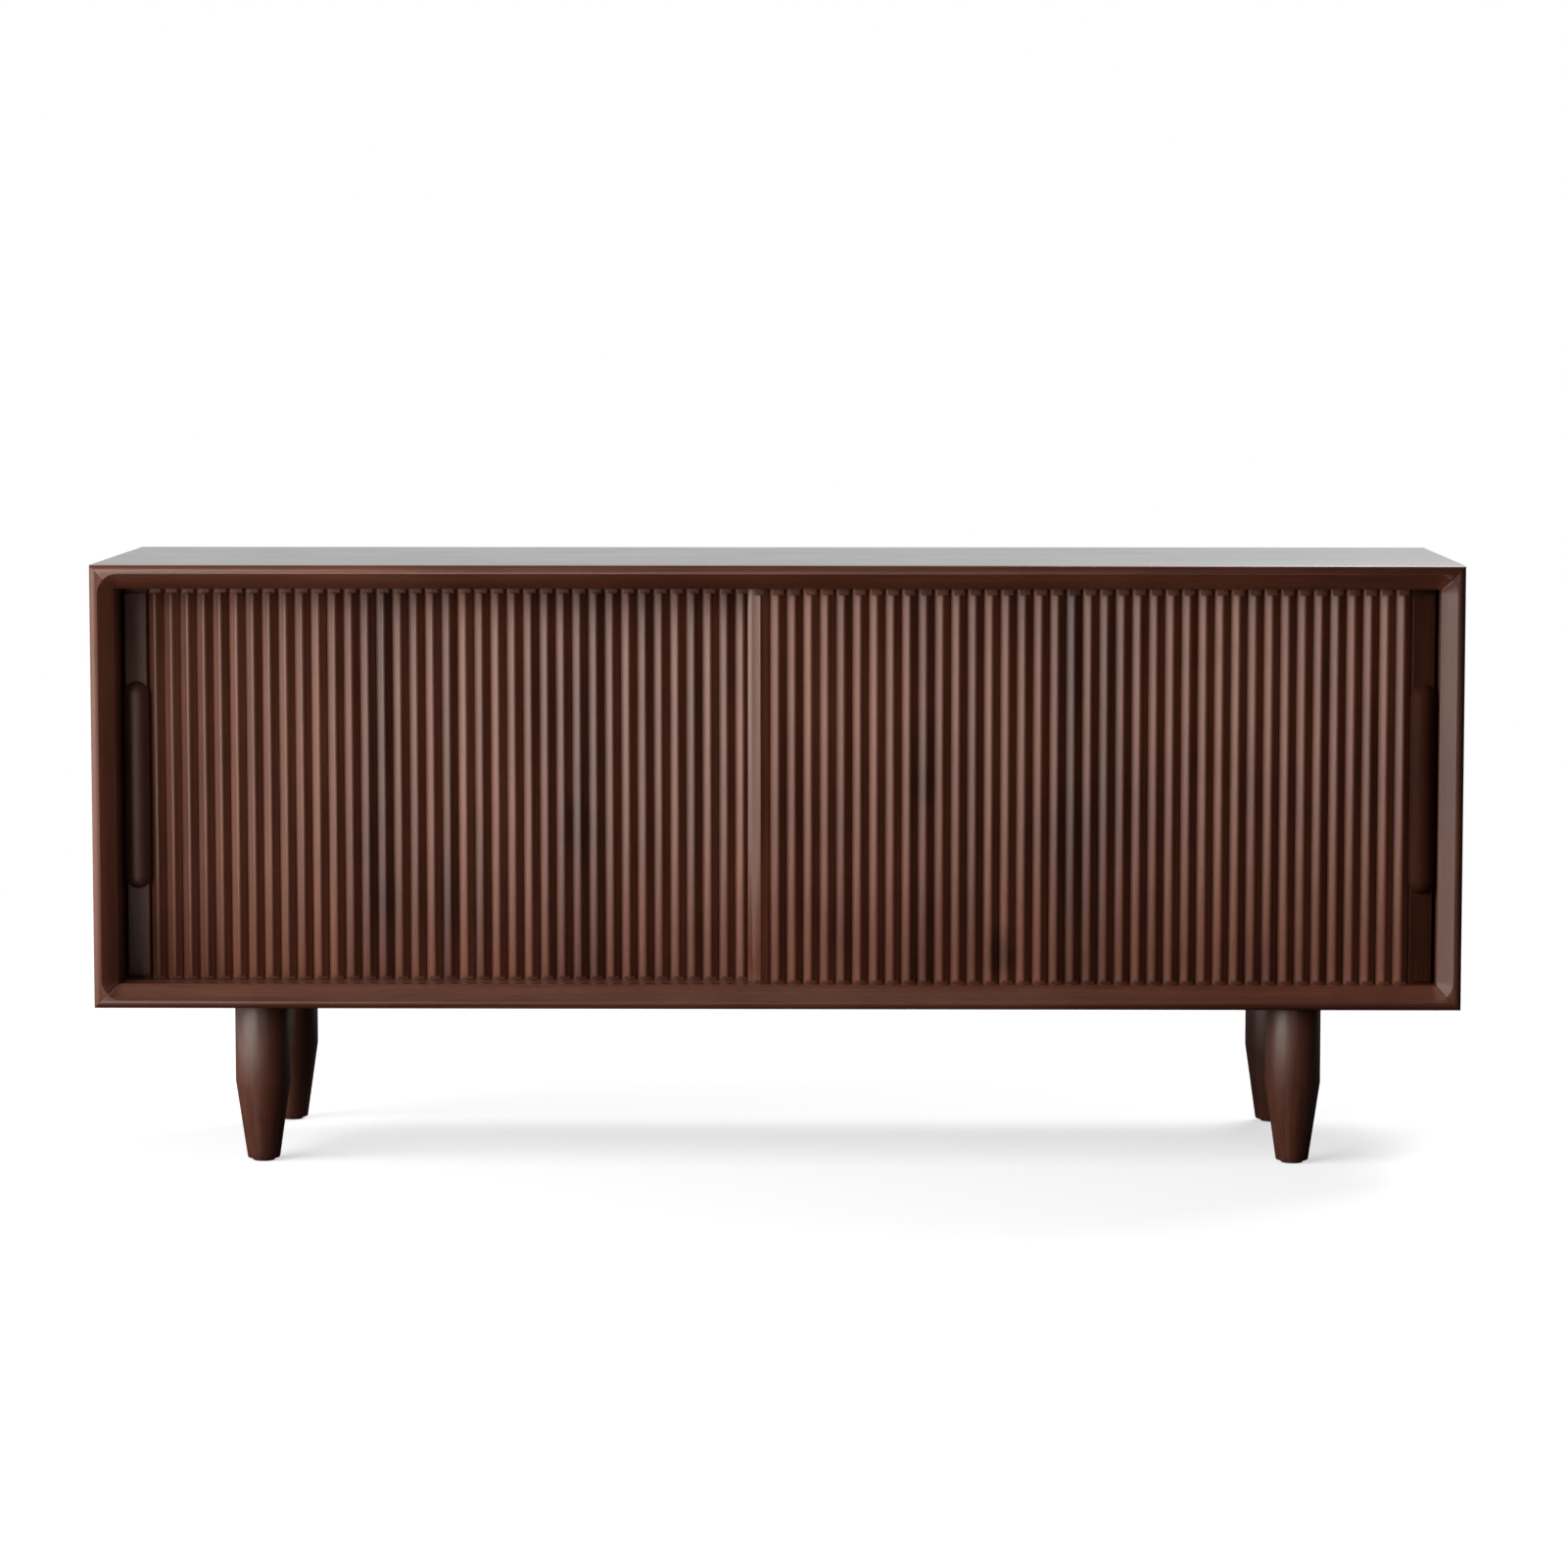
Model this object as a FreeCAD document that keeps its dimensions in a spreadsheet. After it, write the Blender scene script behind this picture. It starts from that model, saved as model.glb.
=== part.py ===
import FreeCAD, Part
import math
import os
import re

import Sketcher

# A low cabinet on four turned legs. Two slatted doors run in two parallel pairs of grooves and pass
# each other: the right door in the front track, the left door in the rear track.
# Millimetres. X runs along the front, Y from front to back, Z up. The origin is on the floor, mid-cabinet.

SIZES = {
    # Case
    "case_width": 1600,
    "case_depth": 450,
    "case_height": 520,
    "panel_thickness": 28,
    "edge_round_radius": 9,
    "bevel_width": 18,
    "bevel_depth": 14,
    "bevel_corner_radius": 6,
    "back_thickness": 8,
    "back_setback": 2,
    "back_lap": 12,
    "spline_width": 20,
    "spline_thickness": 5,
    "spline_setback": 40,
    # Inside
    "partition_thickness": 18,
    "partition_clearance": 6,
    "housing_depth": 6,
    "shelf_thickness": 18,
    "shelf_height": 223,
    "shelf_side_clearance": 1,
    "shelf_front_setback": 12,
    "shelf_back_clearance": 5,
    "shelf_edge_radius": 3,
    "batten_thickness": 12,
    "batten_height": 22,
    "batten_setback": 20,
    "batten_chamfer": 10,
    # Doors
    "door_recess": 30,
    "track_spacing": 34,
    "door_end_gap": 4,
    "door_stop_clearance": 0.5,
    "door_bottom_gap": 3,
    "door_top_gap": 8,
    "door_seat_clearance": 0.3,
    "groove_clearance": 0.4,
    "lower_groove_depth": 7,
    "upper_groove_depth": 14,
    "upper_engagement": 6,
    "tongue_thickness": 6,
    "door_lap": 67.6,
    "slat_count": 39,
    "slat_gap": 0.4,
    "slat_thickness": 10,
    "slat_edge": 3.5,
    "slat_crown_width": 4.9,
    "slat_crown_radius": 4,
    "lead_stile_width": 27,
    "lead_stile_thickness": 14,
    "lead_stile_radius": 2,
    "trailing_stile_width": 26,
    "trailing_bevel_width": 15,
    "trailing_bevel_depth": 6.5,
    "canvas_thickness": 1,
    "canvas_margin": 2,
    "cleat_width": 12,
    "pull_length": 245,
    "pull_radius": 15,
    # Legs
    "leg_height": 190,
    "leg_end_inset": 190,
    "leg_front_inset": 72,
    "leg_diameter": 65,
    "leg_taper_height": 96,
    "leg_foot_diameter": 38,
    "glide_diameter": 26,
    "glide_thickness": 3,
    "bolt_diameter": 8,
    "bolt_leg_depth": 40,
    "bolt_case_depth": 16,
    "cut_overrun": 2,
}
FULL_TURN = 360
HALF_TURN = 180
TOLERANCE = 1e-4

# Places worked out from the sizes, written as expressions
FRONT = "(-case_depth / 2)"
OUTER_HALF = "(case_width / 2)"
INNER_HALF = "(case_width / 2 - panel_thickness)"
CASE_LOW = "leg_height"
CASE_HIGH = "(leg_height + case_height)"
INNER_LOW = "(leg_height + panel_thickness)"
INNER_HIGH = "(leg_height + case_height - panel_thickness)"
BACK_FACE = "(case_depth / 2 - back_setback - back_thickness)"
FRONT_TRACK = "(-case_depth / 2 + door_recess)"
REAR_TRACK = "(-case_depth / 2 + door_recess + track_spacing)"
PARTITION_FRONT = f"({REAR_TRACK} + lead_stile_thickness + partition_clearance)"
SHELF_FRONT = f"({PARTITION_FRONT} + shelf_front_setback)"
SHELF_BACK = f"({BACK_FACE} - shelf_back_clearance)"
SHELF_LOW = f"({INNER_LOW} + shelf_height)"
DOOR_EDGE = f"({INNER_HALF} - door_end_gap)"
DOOR_LOW = f"({INNER_LOW} + door_bottom_gap)"
DOOR_HIGH = f"({INNER_HIGH} - door_top_gap)"
TONGUE_LOW = f"({INNER_LOW} - lower_groove_depth + door_seat_clearance)"
TONGUE_HIGH = f"({INNER_HIGH} + upper_engagement)"
TONGUE_FRONT = "(slat_thickness - tongue_thickness)"
SLATS_OUTER = f"({DOOR_EDGE} - lead_stile_width)"
DOOR_INNER = "(-door_lap / 2)"
SLATS_INNER = f"({DOOR_INNER} + trailing_stile_width)"
SLAT_PITCH = f"(({SLATS_OUTER} - {SLATS_INNER}) / slat_count)"
LEG_X = "(case_width / 2 - leg_end_inset)"
LEG_Y = "(case_depth / 2 - leg_front_inset)"

doc = FreeCAD.newDocument("cabinet")
sheet = doc.addObject("Spreadsheet::Sheet", "Sizes")
for row, (alias, value) in enumerate(SIZES.items(), start=1):
    sheet.set(f"A{row}", alias)
    sheet.set(f"B{row}", str(value))
    sheet.setAlias(f"B{row}", alias)
doc.recompute()

pieces = []


def in_sheet(text):
    """The expression with each size's name pointed at its cell."""
    return re.sub(r"[a-z_]+", lambda word: f"Sizes.{word[0]}" if word[0] in SIZES else word[0], text)


def number(text):
    """The expression's value now."""
    return float(sheet.evalExpression(text))


def bind(thing, name, text):
    thing.setExpression(name, in_sheet(text))


def place(thing, x="0", y="0", z="0"):
    for axis, text in zip("xyz", (x, y, z)):
        bind(thing, f"Placement.Base.{axis}", text)


def piece(thing, label):
    """Names a finished sub-part and keeps it for the list of files."""
    thing.Label = label
    pieces.append(thing)
    return thing


# Sketches

def origin_feature(body, role):
    return next(feature for feature in body.Origin.OriginFeatures if feature.Role == role)


def sketch_on(body, role, height="0"):
    sketch = body.newObject("Sketcher::SketchObject", body.Name + "Sketch")
    sketch.AttachmentSupport = [(origin_feature(body, role), "")]
    sketch.MapMode = "FlatFace"
    bind(sketch, "AttachmentOffset.Base.z", height)
    return sketch


def arc_between(start, end, radius):
    """The shorter arc of this radius that bulges to the right of the way from start to end."""
    chord = end - start
    half = chord.Length / 2
    rise = radius - math.sqrt(max(radius ** 2 - half ** 2, 0))
    right = FreeCAD.Vector(chord.y, -chord.x, 0).normalize()
    return Part.Arc(start, start + chord / 2 + right * rise, end)


def outline(sketch, corners, arcs=None):
    """A closed outline through the corners, each a pair of expressions.

    arcs gives the radius of each side that is an arc, by the number of the corner it starts from.
    """
    arcs = arcs or {}
    first = sketch.GeometryCount
    count = len(corners)
    points = [FreeCAD.Vector(number(x), number(y), 0) for x, y in corners]
    for side, start in enumerate(points):
        end = points[(side + 1) % count]
        if side in arcs:
            sketch.addGeometry(arc_between(start, end, number(arcs[side])), False)
        else:
            sketch.addGeometry(Part.LineSegment(start, end), False)
    for side in range(count):
        after = (side + 1) % count
        sketch.addConstraint(Sketcher.Constraint("Coincident", first + side, 2, first + after, 1))
    for side, corner in enumerate(corners):
        for kind, text in zip(("DistanceX", "DistanceY"), corner):
            rule = sketch.addConstraint(Sketcher.Constraint(kind, -1, 1, first + side, 1, number(text)))
            bind(sketch, f"Constraints[{rule}]", text)
    for side, text in arcs.items():
        rule = sketch.addConstraint(Sketcher.Constraint("Radius", first + side, number(text)))
        bind(sketch, f"Constraints[{rule}]", text)


def rectangle(sketch, left, right, low, high):
    outline(sketch, [(left, low), (right, low), (right, high), (left, high)])


def rounded_rectangle(sketch, half, low, high, radius):
    """A rectangle about the sketch's upright axis with round corners."""
    corners = [
        (f"-{half} + {radius}", low),
        (f"{half} - {radius}", low),
        (half, f"{low} + {radius}"),
        (half, f"{high} - {radius}"),
        (f"{half} - {radius}", high),
        (f"-{half} + {radius}", high),
        (f"-{half}", f"{high} - {radius}"),
        (f"-{half}", f"{low} + {radius}"),
    ]
    outline(sketch, corners, {side: radius for side in (1, 3, 5, 7)})


# Features

def new_body(name):
    return doc.addObject("PartDesign::Body", name)


def extrude(kind, body, sketch, length, symmetric=False, backwards=False):
    feature = body.newObject(f"PartDesign::{kind}", body.Name + kind)
    feature.Profile = sketch
    feature.SideType = "Symmetric" if symmetric else "One side"
    feature.Reversed = backwards
    bind(feature, "Length", length)
    doc.recompute()


def round_edges(body, radius, wanted):
    """Rounds the edges of the body, as built so far, for which wanted(edge) is true."""
    doc.recompute()
    tip = body.Tip
    names = [f"Edge{rank}" for rank, edge in enumerate(tip.Shape.Edges, start=1) if wanted(edge)]
    fillet = body.newObject("PartDesign::Fillet", body.Name + "Fillet")
    fillet.Base = (tip, names)
    bind(fillet, "Radius", radius)
    doc.recompute()


def lies_on(edge, **places):
    """True where each end of the edge has these coordinates, given as expressions."""
    return all(
        abs(getattr(vertex.Point, axis) - number(text)) < TOLERANCE
        for vertex in edge.Vertexes
        for axis, text in places.items()
    )


def revolve(body, corners, arcs=None, angle=FULL_TURN):
    """Turns an outline of radii and heights about the body's upright axis, towards the front first."""
    profile = sketch_on(body, "XZ_Plane")
    outline(profile, corners, arcs)
    turned = body.newObject("PartDesign::Revolution", body.Name + "Turned")
    turned.Profile = profile
    turned.ReferenceAxis = (profile, ["V_Axis"])
    turned.Angle = angle
    turned.Reversed = True
    doc.recompute()


# Pieces made of several solids, and pieces cut to take others

def rod(diameter, length, x, y, z):
    """An upright round bar that stands on the given place."""
    bar = doc.addObject("Part::Cylinder", "Rod")
    bind(bar, "Radius", f"{diameter} / 2")
    bind(bar, "Height", length)
    place(bar, x, y, z)
    return bar


def together(things):
    joined = doc.addObject("Part::Compound", "Joined")
    joined.Links = things
    return joined


def fitted(label, base, fittings):
    """The base with a place cut for each fitting that goes into it."""
    cut = doc.addObject("Part::Cut", "Fitted")
    cut.Base = base
    cut.Tool = together(fittings)
    return piece(cut, label)


# Case boards

def back_rectangle(sketch):
    """The outline of the back and of the rebate that takes it."""
    rectangle(
        sketch,
        f"-{INNER_HALF} - back_lap",
        f"{INNER_HALF} + back_lap",
        f"{INNER_LOW} - back_lap",
        f"{INNER_HIGH} + back_lap",
    )


def case_board(name, corners, **outer_edge):
    """One board of the mitred case, seen from the front as a trapezium and as deep as the case."""
    body = new_body(name)
    section = sketch_on(body, "XZ_Plane")
    outline(section, corners)
    extrude("Pad", body, section, "case_depth", symmetric=True)
    round_edges(body, "edge_round_radius", lambda edge: lies_on(edge, y=FRONT, **outer_edge))
    # The bevel round the opening, with round corners
    mouth = sketch_on(body, "XZ_Plane", "case_depth / 2 + cut_overrun")
    flare = "bevel_width * (1 + cut_overrun / bevel_depth)"
    rounded_rectangle(
        mouth,
        f"({INNER_HALF} + {flare})",
        f"({INNER_LOW} - {flare})",
        f"({INNER_HIGH} + {flare})",
        f"(bevel_corner_radius + {flare})",
    )
    throat = sketch_on(body, "XZ_Plane", "case_depth / 2 - bevel_depth")
    rounded_rectangle(throat, INNER_HALF, INNER_LOW, INNER_HIGH, "bevel_corner_radius")
    bevel = body.newObject("PartDesign::SubtractiveLoft", name + "Bevel")
    bevel.Profile = mouth
    bevel.Sections = [throat]
    bevel.Ruled = True
    # The rebate for the back
    rebate = sketch_on(body, "XZ_Plane", f"-{BACK_FACE}")
    back_rectangle(rebate)
    extrude("Pocket", body, rebate, "back_thickness + back_setback + cut_overrun")
    return body


def add_grooves(body, height, depth, upwards):
    """The two door grooves, which end where the doors' tongues stop."""
    sketch = sketch_on(body, "XY_Plane", height)
    reach = f"({DOOR_EDGE} + door_stop_clearance)"
    for track in (FRONT_TRACK, REAR_TRACK):
        low = f"{track} + {TONGUE_FRONT} - groove_clearance"
        high = f"{track} + slat_thickness + groove_clearance"
        rectangle(sketch, f"-{reach}", reach, low, high)
    extrude("Pocket", body, sketch, depth, backwards=upwards)


def partition_plan(body, height):
    sketch = sketch_on(body, "XY_Plane", height)
    rectangle(sketch, "-partition_thickness / 2", "partition_thickness / 2", PARTITION_FRONT, BACK_FACE)
    return sketch


top_board = case_board(
    "top_board",
    [
        (f"-{OUTER_HALF}", CASE_HIGH),
        (OUTER_HALF, CASE_HIGH),
        (INNER_HALF, INNER_HIGH),
        (f"-{INNER_HALF}", INNER_HIGH),
    ],
    z=CASE_HIGH,
)
add_grooves(top_board, INNER_HIGH, "upper_groove_depth", upwards=True)
extrude("Pocket", top_board, partition_plan(top_board, INNER_HIGH), "housing_depth", backwards=True)
bottom_board = case_board(
    "bottom_board",
    [
        (f"-{OUTER_HALF}", CASE_LOW),
        (OUTER_HALF, CASE_LOW),
        (INNER_HALF, INNER_LOW),
        (f"-{INNER_HALF}", INNER_LOW),
    ],
    z=CASE_LOW,
)
add_grooves(bottom_board, INNER_LOW, "lower_groove_depth", upwards=False)
extrude("Pocket", bottom_board, partition_plan(bottom_board, INNER_LOW), "housing_depth")
SIDES = {"left": "-1", "right": "1"}
side_boards = {}
for side, sign in SIDES.items():
    side_boards[side] = case_board(
        f"{side}_board",
        [
            (f"{sign} * {OUTER_HALF}", CASE_LOW),
            (f"{sign} * {OUTER_HALF}", CASE_HIGH),
            (f"{sign} * {INNER_HALF}", INNER_HIGH),
            (f"{sign} * {INNER_HALF}", INNER_LOW),
        ],
        x=f"{sign} * {OUTER_HALF}",
    )

# Splines across the four mitres, stopped short of both edges
splines = new_body("splines")
spline_ends = sketch_on(splines, "XZ_Plane")
MITRE_X = "(case_width / 2 - panel_thickness / 2)"
MITRE_LOW = "(leg_height + panel_thickness / 2)"
MITRE_HIGH = "(leg_height + case_height - panel_thickness / 2)"
ALONG = "spline_width / 2 / sqrt(2)"
ACROSS = "spline_thickness / 2 / sqrt(2)"
for middle, lean in (
    ((f"-{MITRE_X}", MITRE_HIGH), "1"),
    ((MITRE_X, MITRE_HIGH), "-1"),
    ((f"-{MITRE_X}", MITRE_LOW), "-1"),
    ((MITRE_X, MITRE_LOW), "1"),
):
    outline(
        spline_ends,
        [
            (f"{middle[0]} + {along} * {ALONG} + {across} * {ACROSS}",
             f"{middle[1]} + {lean} * ({along} * {ALONG} - {across} * {ACROSS})")
            for along, across in (("1", "1"), ("1", "-1"), ("-1", "-1"), ("-1", "1"))
        ],
    )
extrude("Pad", splines, spline_ends, "case_depth - 2 * spline_setback", symmetric=True)
piece(splines, "mitre_splines")

# Partition, housed in the top and the bottom
partition = new_body("partition_board")
partition_foot = partition_plan(partition, f"{INNER_LOW} - housing_depth")
extrude("Pad", partition, partition_foot, f"{INNER_HIGH} - {INNER_LOW} + 2 * housing_depth")
piece(partition, "centre_partition")

# Shelves, loose on battens
for side, sign in SIDES.items():
    shelf = new_body(f"{side}_shelf_board")
    shelf_plan = sketch_on(shelf, "XY_Plane", SHELF_LOW)
    rectangle(
        shelf_plan,
        f"{sign} * (partition_thickness / 2 + shelf_side_clearance)",
        f"{sign} * ({INNER_HALF} - shelf_side_clearance)",
        SHELF_FRONT,
        SHELF_BACK,
    )
    extrude("Pad", shelf, shelf_plan, "shelf_thickness")
    round_edges(
        shelf,
        "shelf_edge_radius",
        lambda edge: lies_on(edge, y=SHELF_FRONT, z=SHELF_LOW)
        or lies_on(edge, y=SHELF_FRONT, z=f"{SHELF_LOW} + shelf_thickness"),
    )
    piece(shelf, f"{side}_shelf")

# Each batten starts from an upright face and grows into its bay
BATTENS = {
    "left_outer": (f"-{INNER_HALF}", False),
    "left_inner": ("-partition_thickness / 2", True),
    "right_inner": ("partition_thickness / 2", False),
    "right_outer": (INNER_HALF, True),
}
BATTEN_FRONT = f"({SHELF_FRONT} + batten_setback)"
for spot, (face, leftwards) in BATTENS.items():
    batten = new_body(f"{spot}_strip")
    batten_side = sketch_on(batten, "YZ_Plane", face)
    outline(
        batten_side,
        [
            (f"{BATTEN_FRONT} + batten_chamfer", f"{SHELF_LOW} - batten_height"),
            (SHELF_BACK, f"{SHELF_LOW} - batten_height"),
            (SHELF_BACK, SHELF_LOW),
            (BATTEN_FRONT, SHELF_LOW),
            (BATTEN_FRONT, f"{SHELF_LOW} - batten_height + batten_chamfer"),
        ],
    )
    extrude("Pad", batten, batten_side, "batten_thickness", backwards=leftwards)
    piece(batten, f"{spot}_batten")

# Back, let into the rebate
back = new_body("back_board")
back_outline = sketch_on(back, "XZ_Plane", f"-{BACK_FACE}")
back_rectangle(back_outline)
extrude("Pad", back, back_outline, "back_thickness", backwards=True)
piece(back, "back_panel")

# Legs, each on a hanger bolt that screws into the case, with a glide under the foot
LEG_PLACES = {
    "front_left": (f"-{LEG_X}", f"-{LEG_Y}"),
    "front_right": (LEG_X, f"-{LEG_Y}"),
    "back_left": (f"-{LEG_X}", LEG_Y),
    "back_right": (LEG_X, LEG_Y),
}
BOLT_LENGTH = "(bolt_leg_depth + bolt_case_depth)"
BOLT_LOW = f"({CASE_LOW} - bolt_leg_depth)"
bolts = together([rod("bolt_diameter", BOLT_LENGTH, x, y, BOLT_LOW) for x, y in LEG_PLACES.values()])
piece(bolts, "leg_bolts")

glides = [rod("glide_diameter", "glide_thickness", x, y, "0") for x, y in LEG_PLACES.values()]
piece(together(glides), "foot_glides")

for corner, (x, y) in LEG_PLACES.items():
    leg = new_body(f"{corner}_leg")
    revolve(
        leg,
        [
            ("0", "glide_thickness"),
            ("leg_foot_diameter / 2", "glide_thickness"),
            ("leg_diameter / 2", "leg_taper_height"),
            ("leg_diameter / 2", "leg_height"),
            ("0", "leg_height"),
        ],
    )
    place(leg, x, y)
    fitted(f"leg_{corner}", leg, [bolts])

fitted("top_panel", top_board, [splines])
fitted("bottom_panel", bottom_board, [splines, bolts])
for side, board in side_boards.items():
    fitted(f"{side}_side_panel", board, [splines])


# Doors

def shoulders(body, left, right, track, back):
    """Cuts the ends of a door member down to the tongues that run in the grooves."""
    faces = [(f"{track} - cut_overrun", f"{track} + {TONGUE_FRONT}")]
    if back != "slat_thickness":
        faces.append((f"{track} + slat_thickness", f"{track} + {back} + cut_overrun"))
    for low, high in faces:
        sketch = sketch_on(body, "XZ_Plane", f"-({low})")
        for bottom, top in (
            (f"{TONGUE_LOW} - cut_overrun", DOOR_LOW),
            (DOOR_HIGH, f"{TONGUE_HIGH} + cut_overrun"),
        ):
            rectangle(sketch, f"{left} - cut_overrun", f"{right} + cut_overrun", bottom, top)
        extrude("Pocket", body, sketch, f"({high}) - ({low})")


def door_member(name, plan, arcs=None):
    """A member of a door, with its plan drawn to the full length of its tongues."""
    body = new_body(name)
    sketch = sketch_on(body, "XY_Plane", TONGUE_LOW)
    outline(sketch, plan, arcs)
    extrude("Pad", body, sketch, f"{TONGUE_HIGH} - {TONGUE_LOW}")
    return body


def lead_stile(side, sign, track):
    """The outer stile, rebated behind for the canvas and its cleat."""
    outer = f"{sign} * {DOOR_EDGE}"
    inner = f"{sign} * {SLATS_OUTER}"
    rebate = f"{sign} * ({SLATS_OUTER} + cleat_width)"
    body = door_member(
        f"{side}_lead",
        [
            (inner, track),
            (outer, track),
            (outer, f"{track} + lead_stile_thickness"),
            (rebate, f"{track} + lead_stile_thickness"),
            (rebate, f"{track} + slat_thickness"),
            (inner, f"{track} + slat_thickness"),
        ],
    )
    round_edges(
        body,
        "lead_stile_radius",
        lambda edge: lies_on(edge, x=outer, y=track) or lies_on(edge, x=inner, y=track),
    )
    left, right = (inner, outer) if sign == "1" else (outer, inner)
    shoulders(body, left, right, track, "lead_stile_thickness")
    return piece(body, f"{side}_door_lead_stile")


def slat_row(side, sign, track):
    """The row of ridged slats, each with a round crown and two sloping faces."""
    first = f"(({sign} - 1) / 2 * {SLATS_OUTER} + ({sign} + 1) / 2 * {SLATS_INNER} + {SLAT_PITCH} / 2)"
    half = f"({SLAT_PITCH} - slat_gap) / 2"
    crown_rise = "(slat_crown_radius - sqrt(slat_crown_radius ^ 2 - slat_crown_width ^ 2 / 4))"
    body = door_member(
        f"{side}_slats",
        [
            (f"{first} - slat_crown_width / 2", f"{track} + {crown_rise}"),
            (f"{first} + slat_crown_width / 2", f"{track} + {crown_rise}"),
            (f"{first} + {half}", f"{track} + slat_thickness - slat_edge"),
            (f"{first} + {half}", f"{track} + slat_thickness"),
            (f"{first} - {half}", f"{track} + slat_thickness"),
            (f"{first} - {half}", f"{track} + slat_thickness - slat_edge"),
        ],
        {0: "slat_crown_radius"},
    )
    row = body.newObject("PartDesign::LinearPattern", body.Name + "Row")
    row.Originals = [body.Tip]
    row.Direction = (origin_feature(body, "X_Axis"), [""])
    bind(row, "Length", f"(slat_count - 1) * {SLAT_PITCH}")
    bind(row, "Occurrences", "slat_count")
    body.Tip = row
    doc.recompute()
    left = f"({first} - {SLAT_PITCH} / 2)"
    shoulders(body, left, f"({left} + {SLATS_OUTER} - {SLATS_INNER})", track, "slat_thickness")
    return piece(body, f"{side}_door_slats")


def trailing_stile(side, sign, track):
    """The inner stile: a broad bevel on the free edge, and a steep one down to the first slat."""
    inner = f"{sign} * {DOOR_INNER}"
    outer = f"{sign} * {SLATS_INNER}"
    body = door_member(
        f"{side}_trailing",
        [
            (inner, f"{track} + trailing_bevel_depth"),
            (f"{sign} * ({DOOR_INNER} + trailing_bevel_width)", track),
            (outer, f"{track} + slat_thickness - slat_edge"),
            (outer, f"{track} + slat_thickness"),
            (inner, f"{track} + slat_thickness"),
        ],
    )
    left, right = (inner, outer) if sign == "1" else (outer, inner)
    shoulders(body, left, right, track, "slat_thickness")
    return piece(body, f"{side}_door_trailing_stile")


def slab(label, left, right, low, high):
    """A flat piece of the door, as high as the door between its shoulders."""
    body = new_body(label + "_slab")
    sketch = sketch_on(body, "XY_Plane", DOOR_LOW)
    rectangle(sketch, left, right, low, high)
    extrude("Pad", body, sketch, f"{DOOR_HIGH} - {DOOR_LOW}")
    return piece(body, label)


def pull(side, sign, track):
    """A half-round grip with rounded ends, flat against the stile."""
    body = new_body(f"{side}_grip")
    revolve(
        body,
        [
            ("0", "-pull_length / 2"),
            ("pull_radius", "-pull_length / 2 + pull_radius"),
            ("pull_radius", "pull_length / 2 - pull_radius"),
            ("0", "pull_length / 2"),
        ],
        {0: "pull_radius", 2: "pull_radius"},
        HALF_TURN,
    )
    place(body, f"{sign} * ({DOOR_EDGE} - lead_stile_width / 2)", track, f"({DOOR_LOW} + {DOOR_HIGH}) / 2")
    return piece(body, f"{side}_door_pull")


def door(side, sign, track):
    """One sliding door: stiles and slats on a canvas, with the pull on the lead stile."""
    slat_row(side, sign, track)
    trailing_stile(side, sign, track)
    lead_stile(side, sign, track)
    pull(side, sign, track)
    rebate = f"{sign} * ({SLATS_OUTER} + cleat_width)"
    canvas_back = f"{track} + slat_thickness + canvas_thickness"
    slab(
        f"{side}_door_canvas",
        f"{sign} * ({DOOR_INNER} + canvas_margin)",
        rebate,
        f"{track} + slat_thickness",
        canvas_back,
    )
    slab(
        f"{side}_door_cleat",
        f"{sign} * {SLATS_OUTER}",
        rebate,
        canvas_back,
        f"{track} + lead_stile_thickness",
    )


door("left", SIDES["left"], REAR_TRACK)
door("right", SIDES["right"], FRONT_TRACK)

# Everything is checked before anything is written
doc.recompute()
for thing in doc.Objects:
    if {"Invalid", "Error"} & set(thing.State):
        raise RuntimeError(f"{thing.Label} did not build: {thing.State}")
for thing in pieces:
    if thing.Shape.isNull() or not thing.Shape.isValid():
        raise RuntimeError(f"{thing.Label} has no valid shape")
os.makedirs("parts", exist_ok=True)
for thing in pieces:
    thing.Shape.exportStep(f"parts/{thing.Label}.step")
print(len(pieces), "pieces, door travel", number(f"{DOOR_EDGE} + {DOOR_INNER}"))
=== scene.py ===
import math

import bmesh
import bpy
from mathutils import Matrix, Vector


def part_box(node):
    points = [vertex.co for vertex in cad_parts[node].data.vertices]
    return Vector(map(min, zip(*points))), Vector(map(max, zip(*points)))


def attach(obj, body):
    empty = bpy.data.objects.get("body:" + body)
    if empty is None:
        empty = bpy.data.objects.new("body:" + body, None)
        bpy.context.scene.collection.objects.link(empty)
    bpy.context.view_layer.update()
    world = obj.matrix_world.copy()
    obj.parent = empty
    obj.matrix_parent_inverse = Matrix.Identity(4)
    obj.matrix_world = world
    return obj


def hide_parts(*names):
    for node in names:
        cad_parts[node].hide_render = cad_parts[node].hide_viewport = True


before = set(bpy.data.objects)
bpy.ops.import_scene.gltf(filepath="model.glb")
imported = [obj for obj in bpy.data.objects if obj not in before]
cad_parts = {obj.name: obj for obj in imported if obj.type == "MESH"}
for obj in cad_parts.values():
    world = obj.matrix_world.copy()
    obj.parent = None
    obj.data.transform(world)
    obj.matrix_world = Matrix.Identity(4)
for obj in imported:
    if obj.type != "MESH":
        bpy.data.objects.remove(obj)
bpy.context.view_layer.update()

X, Y, Z = range(3)
SIDES = ("left", "right")
UPWARDS = (0, 0, 1)
TO_THE_BACK = (0, 1, 0)
WHITE = (1, 1, 1, 1)
MIDDLE = 0.5
QUARTER_TURN = math.radians(90)
FULL_TURN = 2 * math.pi

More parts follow.
